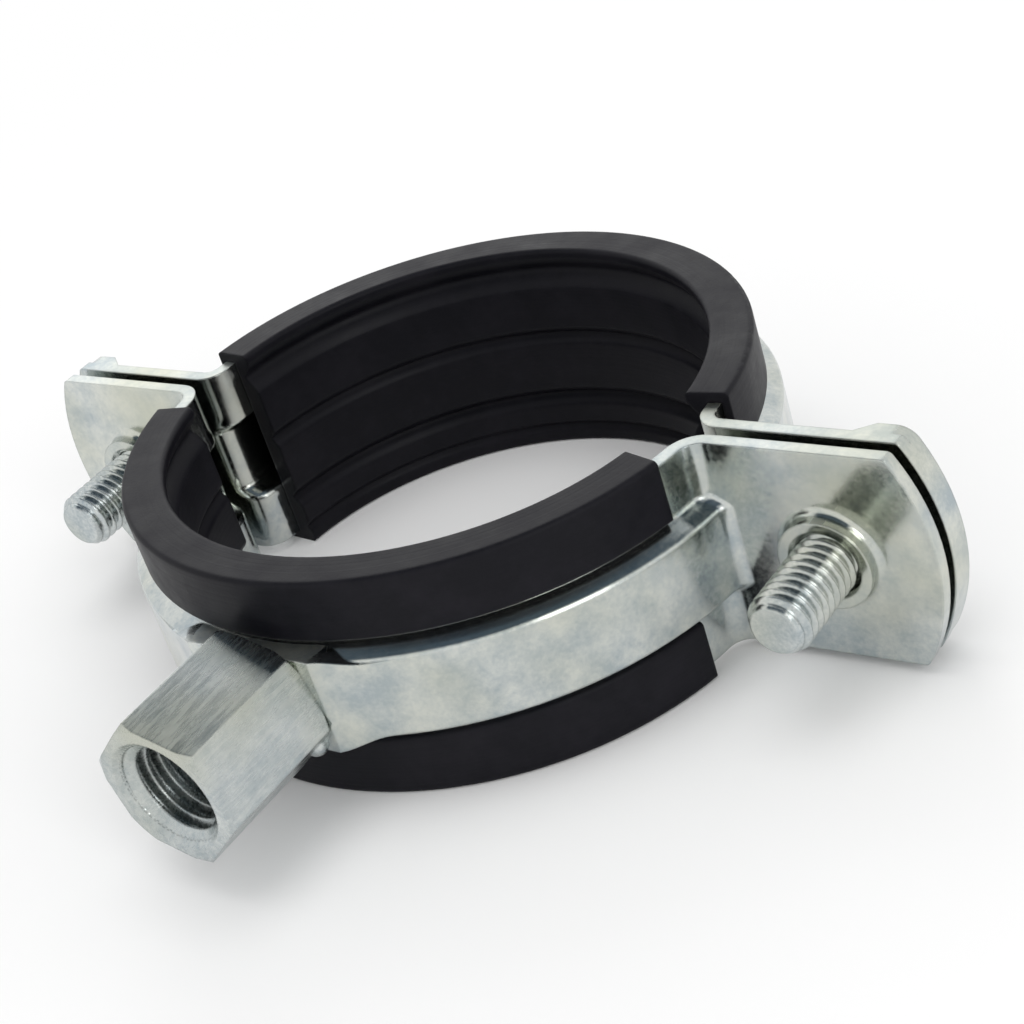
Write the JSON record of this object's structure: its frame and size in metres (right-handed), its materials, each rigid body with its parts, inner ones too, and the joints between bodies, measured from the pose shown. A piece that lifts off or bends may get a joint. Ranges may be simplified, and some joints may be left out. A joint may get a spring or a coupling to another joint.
{
  "type": "rubber lined pipe clamp",
  "caption": "Two-screw steel pipe clamp with ribbed rubber linings and a welded hexagon combination nut that screws on a hanger rod and holds a pipe.",
  "frame": {"origin": "on the pipe axis, halfway across the strip", "axes": "+Z along the pipe axis, -Y along the boss nut, +X and -X along the ears"},
  "size_m": [0.1026, 0.0776, 0.023],
  "materials": {
    "zinc_strip": "bright zinc plated, pressed strip",
    "zinc_nut": "zinc plated bar steel",
    "zinc_screw": "zinc plated, rolled thread",
    "rubber": "extruded EPDM, satin black"
  },
  "bodies": {
    "front_half": {"front_band": "zinc_strip", "front_lining": "rubber", "boss_nut": "zinc_nut"},
    "rear_half": {"rear_band": "zinc_strip", "rear_lining": "rubber", "left_washer": "zinc_screw", "right_washer": "zinc_screw"},
    "left_screw": {"left_screw": "zinc_screw"},
    "right_screw": {"right_screw": "zinc_screw"}
  },
  "joints": [
    {"name": "rear_half_opening", "type": "slide", "parent": "front_half", "child": "rear_half", "axis": [0, 1, 0], "range_m": [-0.0011, 0.01]},
    {"name": "right_screw_turn", "type": "hinge", "parent": "rear_half", "child": "right_screw", "pos_m": [0.0413, 0, 0], "axis": [0, 1, 0], "range_deg": [-397, 3601]},
    {"name": "left_screw_turn", "type": "hinge", "parent": "rear_half", "child": "left_screw", "pos_m": [-0.0413, 0, 0], "axis": [0, 1, 0], "range_deg": [-397, 3601]}
  ],
  "couplings": [
    {"joint": "right_screw_turn", "follows": "rear_half_opening", "rad_per_m": 6283.2},
    {"joint": "left_screw_turn", "follows": "rear_half_opening", "rad_per_m": 6283.2}
  ]
}
